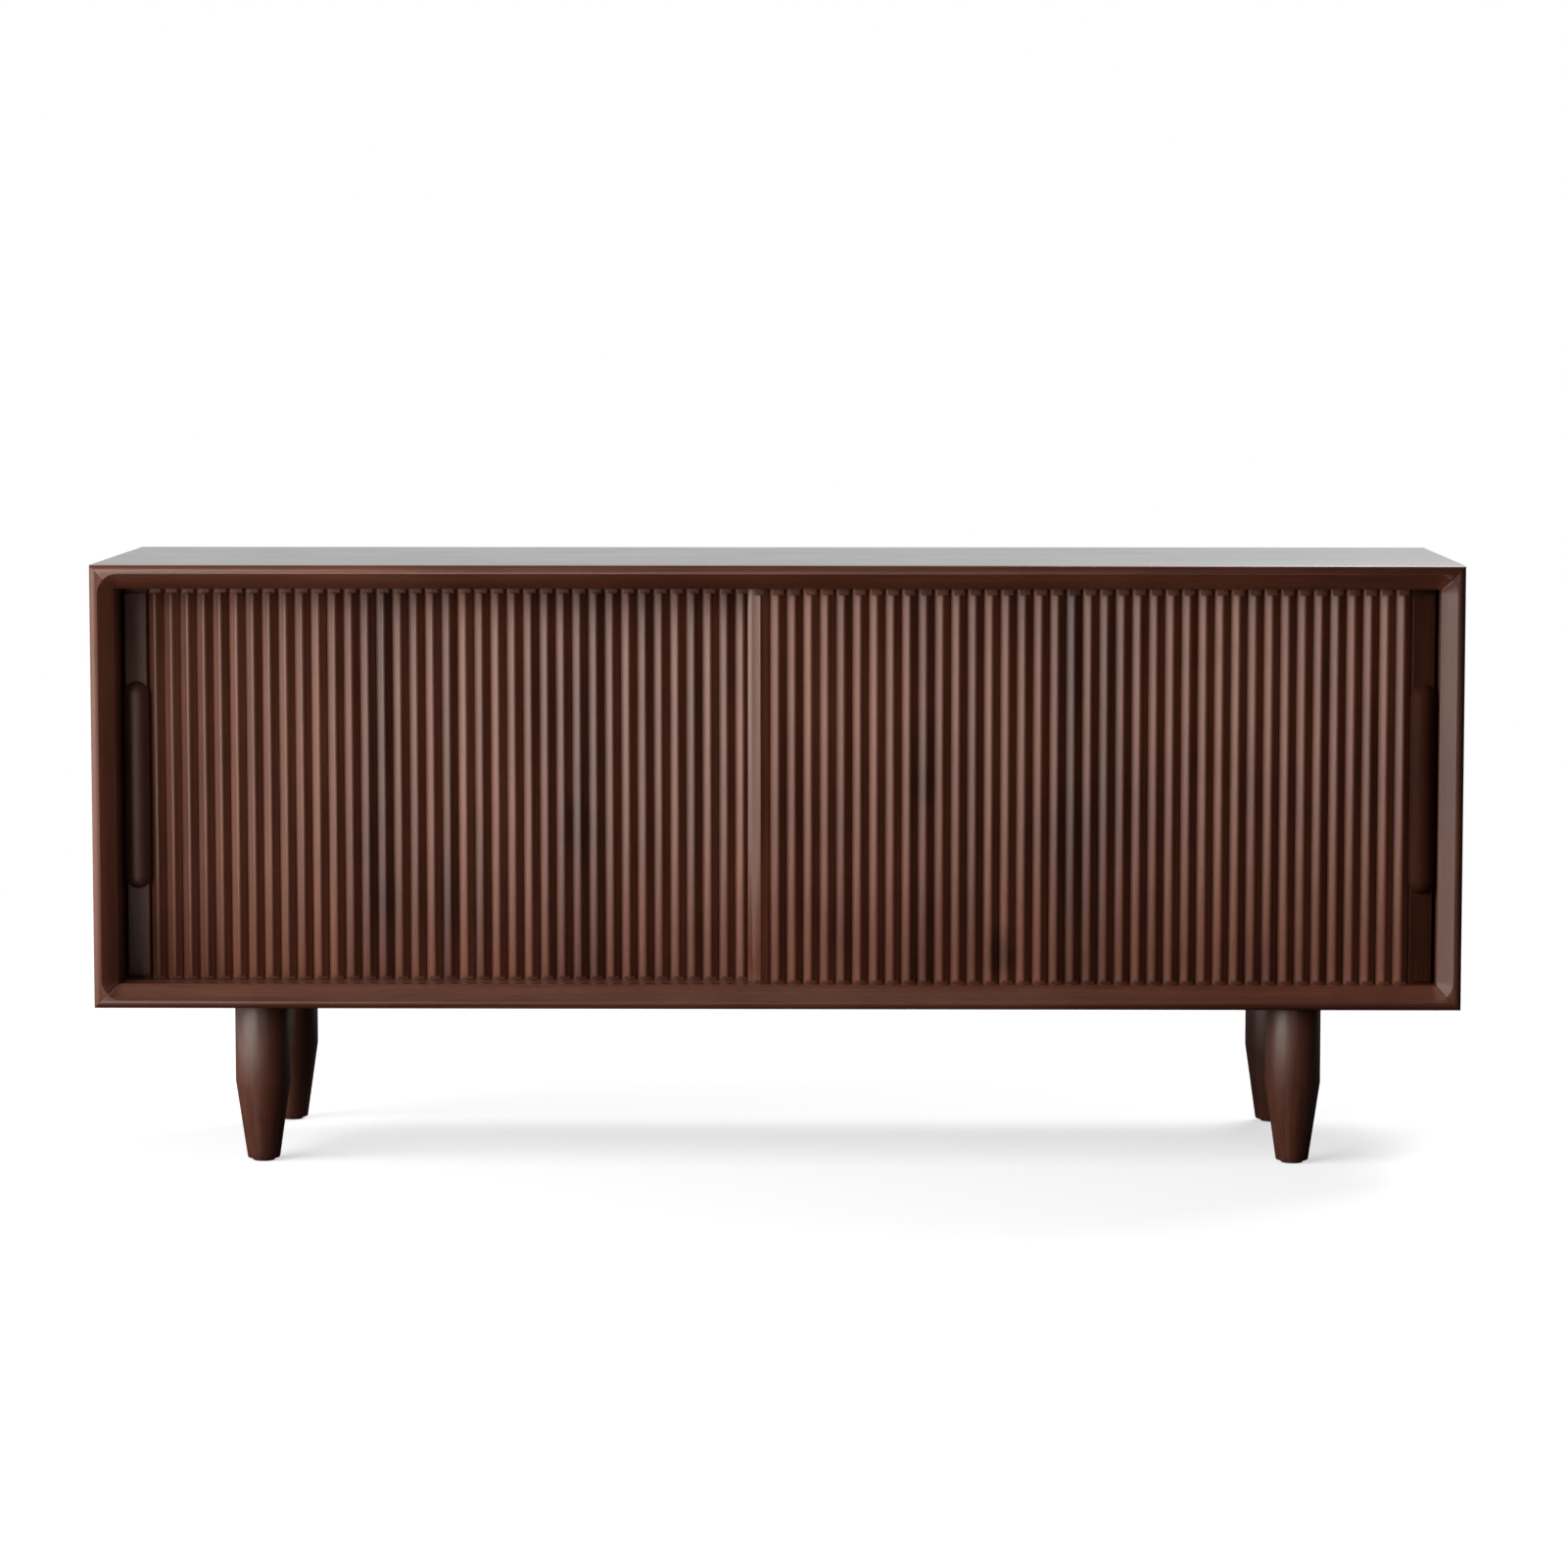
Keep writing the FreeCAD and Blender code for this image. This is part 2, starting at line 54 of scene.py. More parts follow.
# The camera, read from the photograph: metres, turns, and a lens in millimetres
CAMERA_PLACE = (0.0913, -6.0764, 1.0114)
CAMERA_PITCH = math.radians(5.424)
CAMERA_YAW = math.radians(0.805)
CAMERA_LENS = 115.9
CAMERA_SENSOR = 36

# The lamps: a large soft one at the left, weak ones above and in front, and one behind
KEY_PLACE = (-4.0, -2.9, 1.8)
KEY_AIM = (0, -0.2, 0.4)
KEY_SIZE = (5.4, 3.4)
KEY_POWER = 352
TOP_PLACE = (-0.6, -1.6, 3.6)
TOP_AIM = (0, 0, 0.4)
TOP_SIZE = (2.4, 1.6)
TOP_POWER = 8
FILL_PLACE = (0.6, -5.8, 1.2)
FILL_AIM = (0, 0, 0.4)
FILL_SIZE = (2.4, 2.3)
FILL_POWER = 14
BACK_PLACE = (1.9, 2.3, 3.3)
BACK_AIM = (0, 0.2, 0.4)
BACK_SIZE = (2.6, 1.8)
BACK_POWER = 100

# The room: dim, and in reflections bright and a little cool behind the object, above the horizon
ROOM_LIGHT = 0.022
ROOM_FRONT_GLOW = 0.012
ROOM_BACK_GLOW = 1.06
ROOM_GLOW_TINT = (0.93, 1.0, 1.02, 1)
GLOW_BEHIND = (0.3, 0.8)
GLOW_ABOVE = (-0.06, 0.04)

# The floor: a white disc that keeps the shadow near the object and ends in the white of the room
FLOOR_RADIUS = 4.6
FLOOR_SIDES = 48
FLOOR_COLOUR = 0.8
FLOOR_BOUNCE = 0.05
FLOOR_FADE = (1.3, 2.9)
FLOOR_GLOW = 0.6
# Towards the large lamp a patch of floor glows, seen only in reflections: a painted reflection, up to five
# times as bright as white
FLOOR_PAINTED_REFLECTION_SIDE = (-0.81, -0.59, 0)
FLOOR_PAINTED_REFLECTION_REACH = (0.9, 2.2)
FLOOR_PAINTED_REFLECTION_GLOW = 5

# Walnut tones, from the dark streaks to the pale ones
SLAT_TONES = ((0.048, 0.0115, 0.0053), (0.132, 0.0378, 0.0190), (0.218, 0.0745, 0.0415))
CASE_TONES = ((0.043, 0.0105, 0.0050), (0.118, 0.0345, 0.0178), (0.195, 0.0680, 0.0390))
DARK_TONES = ((0.034, 0.0082, 0.0038), (0.094, 0.0270, 0.0136), (0.155, 0.0540, 0.0300))
INSIDE_TONES = ((0.036, 0.0125, 0.0070), (0.108, 0.0430, 0.0240), (0.175, 0.0790, 0.0460))
PLY_TONES = ((0.058, 0.0200, 0.0095), (0.142, 0.0540, 0.0270), (0.215, 0.0940, 0.0510))
# The left side board takes the paler slat tones as painted light, and the right one the dark tones as painted
# shade: lit and shaded copies of one walnut
SIDE_BOARD_PAINTED_LIGHT_TONES = {"left": SLAT_TONES, "right": DARK_TONES}
# The left lead stile and pull are painted paler than the right ones: painted light where they stand in the
# shade of the left side
STILE_TONES_LEFT_PAINTED_LIGHTER = {
    "left": ((0.030, 0.0090, 0.0050), (0.078, 0.0260, 0.0155), (0.130, 0.0500, 0.0320)),
    "right": ((0.015, 0.0036, 0.0017), (0.037, 0.0100, 0.0048), (0.067, 0.0215, 0.0115)),
}
TONE_STOPS = (0.32, 0.52, 0.74)

# Lacquers: roughness, weight of the clear coat, and strength of the shine under it
CASE_LACQUER = (0.33, 0.24, 0.36)
SIDE_LACQUER = (0.48, 0.02, 0.52)
LEG_LACQUER = (0.42, 0.14, 0.52)
SLAT_LACQUERS = {"left": (0.45, 0.13, 0.57), "right": (0.47, 0.09, 0.46)}
STILE_LACQUERS = {"left": (0.5, 0.0, 0.5), "right": (0.55, 0.0, 0.06)}
INSIDE_LACQUER = (0.5, 0.1, 0.5)
PLY_LACQUER = (0.58, 0.0, 0.5)
LACQUER_TINT = (1.0, 0.95, 0.88, 1)
COAT_ROUGHNESS = 0.22

# How the grain is drawn: repeats in a metre across and along it
FIGURE = (24, 1.0)
FIBRE = (360, 6)
PORES = (1500, 42)
# Noises in the wood: repeats in a metre, or one where the place is stretched already, detail, roughness
FIGURE_NOISE = (1, 4, 0.6)
FIBRE_NOISE = (1, 2, 0.5)
PORE_NOISE = (1, 1, 0.4)
BLOTCH_NOISE = (6, 3, 0.55)
SMUDGE_NOISE = (11, 4, 0.6)
WEAR_NOISE = (24, 4, 0.6)
# The slow noise that moves the grain and the knots about: detail and roughness, then repeats and reach
DRIFT_NOISE = (2, 0.5)
WANDER_SCALE = 2.2
WANDER = 0.016
# What each noise adds to the tone, the roughness and the height of the wood
FIGURE_SHARE = 0.54
FIBRE_SHARE = 0.18
BLOTCH_SHARE = 0.28
PORE_RANGE = (0.60, 0.72)
PORE_DARKNESS = 0.45
PORE_HEIGHT = -0.6
ROUGHNESS_DROP = 0.09
FIBRE_ROUGHNESS = 0.10
SMUDGE_ROUGHNESS = 0.10
GRAIN_STRENGTH = 0.22
GRAIN_DEPTH = 0.0004

# Edges rubbed by hands: how round an edge is read, how sharp it must be, and how far it pales
WEAR_RADIUS = 0.0016
WEAR_SAMPLES = 4
WEAR_BEND = (0.02, 0.22)
WEAR_PATCHES = (0.40, 0.66)
WEAR_LEAST = 0.15
WEAR_TONE = (0.190, 0.0950, 0.0640, 1)
WEAR_PALENESS = 0.45
WEAR_ROUGHNESS = 0.08

# The doors' slats: their number, the gap between them, and how their grain and tone differ
SLAT_COUNT = 39
SLAT_GAP = 0.0004
SLAT_SHIFT = 6.0
SLAT_TONE_RANGE = 0.10
SLAT_TONE_LIFT = -0.03
# Knots in the boards that the slats were cut from: x, z and radius in metres
KNOTS = {
    "left": ((-0.232, 0.402, 0.030), (-0.462, 0.310, 0.022)),
    "right": ((0.172, 0.452, 0.020), (0.262, 0.252, 0.026)),
}
KNOT_LENGTH_SHARE = 0.55
KNOT_CORE_SHARE = 0.15
KNOT_DARKNESS = 0.85
KNOT_WANDER_SCALE = 60
KNOT_WANDER = 0.012
# Dark streaks in the same boards: x and half width in metres
STREAKS = {
    "left": ((-0.465, 0.052), (-0.235, 0.060)),
    "right": ((0.176, 0.032), (0.352, 0.050)),
}
STREAK_CORE_SHARE = 0.3
STREAK_TONE = -0.10
STREAK_WANDER_SCALE = 5
STREAK_WANDER = 0.03

# The canvas on the doors' backs: its threads, its thicker threads and its stains
CANVAS_TONES = ((0.30, 0.255, 0.19), (0.47, 0.41, 0.32))
CANVAS_STOPS = (0.30, 0.85)
CANVAS_ROUGHNESS = 0.82
CANVAS_SHEEN = 0.15
CANVAS_REST = 0.0001
CANVAS_DIP = 0.00012
CANVAS_ROWS = 24
THREAD_PITCH = 0.0015
THREADS_IN_REPEAT = 2
THREAD_SHARE = 0.30
THREAD_STRENGTH = 0.6
THREAD_DEPTH = 0.0003
SLUBS = (520, 14)
SLUB_NOISE = (1, 2, 0.5)
SLUB_SHARE = 0.28
SLUB_ROUGHNESS = 0.08
SLUB_HEIGHT = 0.6
STAIN_NOISE = (7, 4, 0.6)
STAIN_SHARE = 0.35

# The plated steel of bolts and screws
STEEL_TONES = ((0.26, 0.24, 0.20), (0.56, 0.54, 0.50))
STEEL_STOPS = (0.3, 0.7)
STEEL_ROUGHNESS = 0.22
TARNISH_NOISE = (160, 4, 0.6)
TARNISH_SHARE = 0.65
TARNISH_ROUGHNESS = 0.3
SCRATCHES = (2600, 300)
SCRATCH_NOISE = (1, 2, 0.5)
SCRATCH_SHARE = 0.35
SCRATCH_STRENGTH = 0.2
SCRATCH_DEPTH = 0.0001

# The nylon of the glides
NYLON_TONES = ((0.022, 0.020, 0.019), (0.080, 0.075, 0.070))
NYLON_STOPS = (0.0, 1.0)
NYLON_ROUGHNESS = 0.5
MOULD_NOISE = (900, 3, 0.6)
MOULD_STRENGTH = 0.25
MOULD_DEPTH = 0.0001
SCUFF_NOISE = (130, 5, 0.65)
SCUFF_RANGE = (0.5, 0.75)
SCUFF_ROUGHNESS = 0.2

# Softened edges: how wide each is in metres, its steps, and the angles that count as sharp and as flat
CASE_EDGE = 0.0004
LEG_EDGE = 0.0015
SHELF_EDGE = 0.0005
BATTEN_EDGE = 0.0006
BOLT_EDGE = 0.0004
GLIDE_EDGE = 0.0007
SLAT_EDGE = 0.0003
STILE_EDGE = 0.0006
TRAILING_EDGE = 0.0005
CLEAT_EDGE = 0.0005
CANVAS_EDGE = 0.0002
EDGE_STEPS = 2
SHARP_ANGLE = math.radians(34)
FLAT_ANGLE = math.radians(0.5)
WELD_REACH = 0.00001

# Screws: the head's shape, how many there are in a row, and how far they stay from an edge
SCREW_RADIUS = 0.0036
SCREW_HEIGHT = 0.0014
SCREW_SECTORS = 24
SCREW_RINGS = ((0.16, 0.99), (0.32, 0.96), (0.50, 0.90), (0.72, 0.74), (0.90, 0.46), (1.0, 0.0))
RECESS_SHARE = 0.52
RECESS_DEPTH_SHARE = 0.55
RECESS_ARMS = 4
BACK_SCREWS_ALONG = 9
BACK_SCREWS_UP = 4
BACK_SCREW_INSET = 0.006
BACK_SCREW_END_INSET = 0.05
BATTEN_SCREWS = 4
BATTEN_SCREW_DROP = 0.006
BATTEN_SCREW_INSET = 0.03
CLEAT_SCREWS = 7
CLEAT_SCREW_INSET = 0.02
PULL_SCREW_INSET = 0.045

# Sockets of the node that mixes two colours
MIX_SHARE = 0
MIX_FIRST = 6
MIX_SECOND = 7
MIX_RESULT = 2


class Nodes:
    """A node tree that is filled by calls, each of which adds one node."""

    def __init__(self, tree):
        self.tree = tree
        tree.nodes.clear()

    def add(self, kind, inputs=None, **settings):
        node = self.tree.nodes.new(kind)
        for name, value in settings.items():
            setattr(node, name, value)
        for name, value in (inputs or {}).items():
            if isinstance(value, bpy.types.NodeSocket):
                self.tree.links.new(value, node.inputs[name])
            else:
                node.inputs[name].default_value = value
        return node

    def math(self, operation, *values):
        return self.add("ShaderNodeMath", dict(enumerate(values)), operation=operation).outputs[0]

    def vector(self, operation, *values):
        node = self.add("ShaderNodeVectorMath", dict(enumerate(values)), operation=operation)
        return node.outputs["Value" if operation in ("DOT_PRODUCT", "LENGTH") else "Vector"]

    def noise(self, vector, scale, detail, roughness, output="Fac"):
        inputs = {"Vector": vector, "Scale": scale, "Detail": detail, "Roughness": roughness}
        return self.add("ShaderNodeTexNoise", inputs).outputs[output]

    def between(self, value, low, high, to_low=0.0, to_high=1.0):
        node = self.add("ShaderNodeMapRange", dict(enumerate((value, low, high, to_low, to_high))))
        node.interpolation_type = "SMOOTHSTEP"
        return node.outputs[0]

    def mix(self, share, first, second):
        inputs = {MIX_SHARE: share, MIX_FIRST: first, MIX_SECOND: second}
        return self.add("ShaderNodeMix", inputs, data_type="RGBA").outputs[MIX_RESULT]

    def ramp(self, value, stops, tones):
        node = self.add("ShaderNodeValToRGB", {"Fac": value})
        elements = node.color_ramp.elements
        for stop in stops[1:-1]:
            elements.new(stop)
        for element, stop, tone in zip(elements, stops, tones):
            element.position = stop
            element.color = (*tone, 1)
        return node.outputs["Color"]

    def place(self):
        return self.add("ShaderNodeTexCoord").outputs["Object"]

    def parts(self, vector):
        return self.add("ShaderNodeSeparateXYZ", {0: vector}).outputs

    def joined(self, *values):
        return self.add("ShaderNodeCombineXYZ", dict(enumerate(values))).outputs[0]

    def bump(self, height, strength, distance):
        inputs = {"Height": height, "Strength": strength, "Distance": distance}
        return self.add("ShaderNodeBump", inputs).outputs["Normal"]

    def rays(self):
        """One for what the camera sees, straight or through glass, and one for reflections."""
        seen = self.add("ShaderNodeLightPath").outputs
        shown = self.math("MAXIMUM", seen["Is Camera Ray"], seen["Is Transmission Ray"])
        return shown, seen["Is Glossy Ray"]

    def surface(self, inputs):
        shader = self.add("ShaderNodeBsdfPrincipled", inputs)
        self.add("ShaderNodeOutputMaterial", {"Surface": shader.outputs[0]})


def material(name):
    made = bpy.data.materials.new(name)
    made.use_nodes = True
    return made, Nodes(made.node_tree)


def along_grain(nodes, vector, grain, repeats):
    """The place, stretched along the grain so that a noise read there gives streaks."""
    across, along = repeats
    scale = [along if axis == grain else across for axis in (X, Y, Z)]
    return nodes.add("ShaderNodeMapping", {"Vector": vector, "Scale": scale}).outputs[0]


def edge_wear(nodes, place):
    """A share that is high on edges, in patches, where hands have rubbed the lacquer."""
    rounded = nodes.add("ShaderNodeBevel", {"Radius": WEAR_RADIUS}, samples=WEAR_SAMPLES).outputs[0]
    plain = nodes.add("ShaderNodeNewGeometry").outputs["Normal"]
    bend = nodes.math("SUBTRACT", 1.0, nodes.vector("DOT_PRODUCT", rounded, plain))
    edge = nodes.between(bend, *WEAR_BEND)
    patches = nodes.between(nodes.noise(place, *WEAR_NOISE), *WEAR_PATCHES, WEAR_LEAST, 1.0)
    return nodes.math("MULTIPLY", edge, patches)


def slat_row(side):
    """Where a door's row of slats starts, and the distance from slat to slat."""
    low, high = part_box(f"{side}_door_slats")
    return low.x, (high.x - low.x + SLAT_GAP) / SLAT_COUNT


def slat_random(nodes, place, low, pitch):
    """A number for each slat of a row, the same all over that slat."""
    across = nodes.math("SUBTRACT", nodes.parts(place)[X], low)
    index = nodes.math("FLOOR", nodes.math("DIVIDE", across, pitch))
    return nodes.add("ShaderNodeTexWhiteNoise", {"W": index}, noise_dimensions="1D").outputs["Value"]


def wandered(nodes, place, scale, reach):
    """The place, moved about by a slow noise."""
    noise = nodes.noise(place, scale, *DRIFT_NOISE, output="Color")
    drift = nodes.vector("SUBTRACT", noise, (MIDDLE, MIDDLE, MIDDLE))
    return nodes.vector("MULTIPLY_ADD", drift, (reach, reach, reach), place)


def knot_mask(nodes, place, knots):
    """A share that rises to one at the middle of each knot."""
    x, _, z = nodes.parts(wandered(nodes, place, KNOT_WANDER_SCALE, KNOT_WANDER))
    mask = 0.0
    for knot_x, knot_z, radius in knots:
        aside = nodes.math("SUBTRACT", x, knot_x)
        above = nodes.math("MULTIPLY", nodes.math("SUBTRACT", z, knot_z), KNOT_LENGTH_SHARE)
        distance = nodes.vector("LENGTH", nodes.joined(aside, 0.0, above))
        mask = nodes.math("MAXIMUM", mask, nodes.between(distance, radius, KNOT_CORE_SHARE * radius))
    return mask


def streak_mask(nodes, place, streaks):
    """A share that rises to one along the middle of each dark streak."""
    x = nodes.parts(wandered(nodes, place, STREAK_WANDER_SCALE, STREAK_WANDER))[X]
    mask = 0.0
    for streak_x, reach in streaks:
        aside = nodes.math("ABSOLUTE", nodes.math("SUBTRACT", x, streak_x))
        mask = nodes.math("MAXIMUM", mask, nodes.between(aside, reach, STREAK_CORE_SHARE * reach))
    return mask


def walnut(name, grain, tones, shine, coat, specular, door=None):
    """Lacquered walnut with its grain along one axis. A door's slats also have their knots and streaks."""
    made, nodes = material(name)
    place = nodes.place()
    grown = wandered(nodes, place, WANDER_SCALE, WANDER)
    if door:
        own = slat_random(nodes, place, *slat_row(door))
        shift = nodes.math("MULTIPLY", own, SLAT_SHIFT)
        grown = nodes.vector("ADD", grown, nodes.joined(0.0, 0.0, shift))
    figure = nodes.noise(along_grain(nodes, grown, grain, FIGURE), *FIGURE_NOISE)
    fibre = nodes.noise(along_grain(nodes, grown, grain, FIBRE), *FIBRE_NOISE)
    pores = nodes.noise(along_grain(nodes, place, grain, PORES), *PORE_NOISE)
    pores = nodes.between(pores, *PORE_RANGE)
    blotch = nodes.noise(place, *BLOTCH_NOISE)
    smudge = nodes.noise(place, *SMUDGE_NOISE)
    wear = edge_wear(nodes, place)

    tone = nodes.math("MULTIPLY", figure, FIGURE_SHARE)
    tone = nodes.math("MULTIPLY_ADD", fibre, FIBRE_SHARE, tone)
    tone = nodes.math("MULTIPLY_ADD", blotch, BLOTCH_SHARE, tone)
    if door:
        tone = nodes.math("ADD", tone, nodes.math("MULTIPLY_ADD", own, SLAT_TONE_RANGE, SLAT_TONE_LIFT))
        tone = nodes.math("MULTIPLY_ADD", streak_mask(nodes, place, STREAKS[door]), STREAK_TONE, tone)
    colour = nodes.ramp(tone, TONE_STOPS, tones)
    darkest = (*tones[0], 1)
    if door:
        knots = nodes.math("MULTIPLY", knot_mask(nodes, place, KNOTS[door]), KNOT_DARKNESS)
        colour = nodes.mix(knots, colour, darkest)
    colour = nodes.mix(nodes.math("MULTIPLY", pores, PORE_DARKNESS), colour, darkest)
    colour = nodes.mix(nodes.math("MULTIPLY", wear, WEAR_PALENESS), colour, WEAR_TONE)

    rough = nodes.math("MULTIPLY_ADD", fibre, FIBRE_ROUGHNESS, shine - ROUGHNESS_DROP)
    rough = nodes.math("MULTIPLY_ADD", smudge, SMUDGE_ROUGHNESS, rough)
    rough = nodes.math("MULTIPLY_ADD", wear, WEAR_ROUGHNESS, rough)
    height = nodes.math("MULTIPLY_ADD", pores, PORE_HEIGHT, fibre)
    nodes.surface({
        "Base Color": colour,
        "Roughness": rough,
        "Coat Weight": coat,
        "Coat Roughness": COAT_ROUGHNESS,
        "Specular IOR Level": specular,
        "Specular Tint": LACQUER_TINT,
        "Normal": nodes.bump(height, GRAIN_STRENGTH, GRAIN_DEPTH),
    })
    return made


def canvas(name):
    """Cotton duck: a plain weave with thicker threads here and there."""
    made, nodes = material(name)
    place = nodes.place()
    x, _, z = nodes.parts(place)
    turns = FULL_TURN / (THREADS_IN_REPEAT * THREAD_PITCH)
    warp = nodes.math("SINE", nodes.math("MULTIPLY", x, turns))
    weft = nodes.math("SINE", nodes.math("MULTIPLY", z, turns))
    weave = nodes.math("MULTIPLY_ADD", nodes.math("MULTIPLY", warp, weft), MIDDLE, MIDDLE)
    upright = nodes.noise(along_grain(nodes, place, Z, SLUBS), *SLUB_NOISE)
    level = nodes.noise(along_grain(nodes, place, X, SLUBS), *SLUB_NOISE)
    slubs = nodes.math("ADD", upright, level)
    stain = nodes.noise(place, *STAIN_NOISE)
    tone = nodes.math("MULTIPLY_ADD", weave, THREAD_SHARE, nodes.math("MULTIPLY", slubs, SLUB_SHARE))
    tone = nodes.math("MULTIPLY_ADD", stain, STAIN_SHARE, tone)
    height = nodes.math("MULTIPLY_ADD", slubs, SLUB_HEIGHT, weave)
    nodes.surface({
        "Base Color": nodes.ramp(tone, CANVAS_STOPS, CANVAS_TONES),
        "Roughness": nodes.math("MULTIPLY_ADD", slubs, SLUB_ROUGHNESS, CANVAS_ROUGHNESS),
        "Sheen Weight": CANVAS_SHEEN,
        "Normal": nodes.bump(height, THREAD_STRENGTH, THREAD_DEPTH),
    })
    return made


def steel(name):
    """Zinc-plated steel with a little tarnish."""
    made, nodes = material(name)
    place = nodes.place()
    tarnish = nodes.noise(place, *TARNISH_NOISE)
    scratch = nodes.noise(along_grain(nodes, place, X, SCRATCHES), *SCRATCH_NOISE)
    tone = nodes.math("MULTIPLY", tarnish, TARNISH_SHARE)
    tone = nodes.math("MULTIPLY_ADD", scratch, SCRATCH_SHARE, tone)
    nodes.surface({
        "Base Color": nodes.ramp(tone, STEEL_STOPS, STEEL_TONES),
        "Metallic": 1.0,
        "Roughness": nodes.math("MULTIPLY_ADD", tarnish, TARNISH_ROUGHNESS, STEEL_ROUGHNESS),
        "Normal": nodes.bump(scratch, SCRATCH_STRENGTH, SCRATCH_DEPTH),
    })
    return made


def nylon(name):
    """Dark moulded nylon, scuffed by the floor."""
    made, nodes = material(name)
    place = nodes.place()
    mould = nodes.noise(place, *MOULD_NOISE)
    scuff = nodes.between(nodes.noise(place, *SCUFF_NOISE), *SCUFF_RANGE)
    nodes.surface({
        "Base Color": nodes.ramp(scuff, NYLON_STOPS, NYLON_TONES),
        "Roughness": nodes.math("MULTIPLY_ADD", scuff, SCUFF_ROUGHNESS, NYLON_ROUGHNESS),
        "Normal": nodes.bump(mould, MOULD_STRENGTH, MOULD_DEPTH),
    })
    return made


def smoothing(limit):
    """Nodes that shade faces smooth, except over edges sharper than a limit."""
    tree = bpy.data.node_groups.new("smooth_by_angle", "GeometryNodeTree")
    for way in ("INPUT", "OUTPUT"):
        tree.interface.new_socket("Geometry", in_out=way, socket_type="NodeSocketGeometry")
    nodes = Nodes(tree)
    shape = nodes.add("NodeGroupInput").outputs[0]
    normals = {"Geometry": shape, "Name": "custom_normal"}
    shape = nodes.add("GeometryNodeRemoveAttribute", normals).outputs[0]
    angle = nodes.add("GeometryNodeInputMeshEdgeAngle").outputs["Unsigned Angle"]
    sharp = nodes.math("GREATER_THAN", angle, limit)
    faces = {0: shape, "Shade Smooth": True}
    shape = nodes.add("GeometryNodeSetShadeSmooth", faces, domain="FACE").outputs[0]
    edges = {0: shape, "Selection": sharp, "Shade Smooth": False}
    shape = nodes.add("GeometryNodeSetShadeSmooth", edges, domain="EDGE").outputs[0]
    nodes.add("NodeGroupOutput", {0: shape})
    return tree


def dress(node, finish, edge):
    """Gives a node its material and soft edges, and leaves its mesh as it is."""
    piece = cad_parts[node]
    piece.data.materials.clear()
    piece.data.materials.append(finish)
    weld = piece.modifiers.new("weld", "WELD")
    weld.merge_threshold = WELD_REACH
    flat = piece.modifiers.new("flat", "DECIMATE")
    flat.decimate_type = "DISSOLVE"
    flat.angle_limit = FLAT_ANGLE
    soft = piece.modifiers.new("soft", "BEVEL")
    soft.width = edge
    soft.segments = EDGE_STEPS
    soft.limit_method = "ANGLE"
    soft.angle_limit = SHARP_ANGLE
    shade = piece.modifiers.new("shade", "NODES")
    shade.node_group = SMOOTHING


def spread(low, high, count):
    """Evenly spaced values from low to high."""
    step = (high - low) / (count - 1)
    return [low + step * index for index in range(count)]


def new_piece(name, mesh, finish, body):
    data = bpy.data.meshes.new(name)
    mesh.to_mesh(data)
    mesh.free()
    data.materials.append(finish)
    piece = bpy.data.objects.new(name, data)
    bpy.context.scene.collection.objects.link(piece)
    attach(piece, body)
    return piece


def canvas_sheet(side):
    """The canvas glued to the backs of a door's slats, drawn in a little at each gap."""
    low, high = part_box(f"{side}_door_canvas")
    row_start, pitch = slat_row(side)
    columns = {low.x: 0.0, high.x: 0.0}
    for index in range(SLAT_COUNT):
        start = row_start + pitch * index
        for offset, dip in ((-SLAT_GAP, 0.0), (-SLAT_GAP / 2, CANVAS_DIP), (0.0, 0.0), (pitch / 2, 0.0)):
            columns[start + offset] = dip
    mesh = bmesh.new()
    rows = []
    for z in spread(low.z, high.z, CANVAS_ROWS):
        row = []
        for x, dip in sorted(columns.items()):
            row.append(mesh.verts.new((x, high.y - dip, z)))
        rows.append(row)
    for lower, upper in zip(rows, rows[1:]):
        for index in range(len(lower) - 1):
            corners = (lower[index], upper[index], upper[index + 1], lower[index + 1])
            mesh.faces.new(corners).smooth = True
    piece = new_piece(f"{side}_canvas_cloth", mesh, CANVAS, f"{side}_door")
    thick = piece.modifiers.new("thick", "SOLIDIFY")
    thick.thickness = high.y - low.y - CANVAS_REST
    thick.offset = -1
    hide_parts(f"{side}_door_canvas")


def screw_head(mesh, place, facing):
    """Adds a pan head with a cross recess, seated at a place on a face."""
    out = Vector(facing)
    up = Vector(UPWARDS)
    across = out.cross(up)
    top = mesh.verts.new(place + out * SCREW_HEIGHT * (1 - RECESS_DEPTH_SHARE))
    inner = None
    for share, rise in SCREW_RINGS:
        ring = []
        for sector in range(SCREW_SECTORS):
            angle = FULL_TURN * sector / SCREW_SECTORS
            on_arm = sector % (SCREW_SECTORS // RECESS_ARMS) == 0
            sunk = RECESS_DEPTH_SHARE if on_arm and share <= RECESS_SHARE else 0
            flat = across * math.cos(angle) + up * math.sin(angle)
            height = SCREW_HEIGHT * max(rise - sunk, 0)
            ring.append(mesh.verts.new(place + flat * SCREW_RADIUS * share + out * height))
        for sector in range(SCREW_SECTORS):
            after = (sector + 1) % SCREW_SECTORS
            if inner is None:
                face = mesh.faces.new((top, ring[sector], ring[after]))
            else:
                face = mesh.faces.new((inner[sector], ring[sector], ring[after], inner[after]))
            face.smooth = True
        inner = ring
    mesh.faces.new(inner)


def screws(name, places, facing, body):
    mesh = bmesh.new()
    for place in places:
        screw_head(mesh, Vector(place), facing)
    bmesh.ops.recalc_face_normals(mesh, faces=mesh.faces)
    new_piece(name, mesh, STEEL, body)


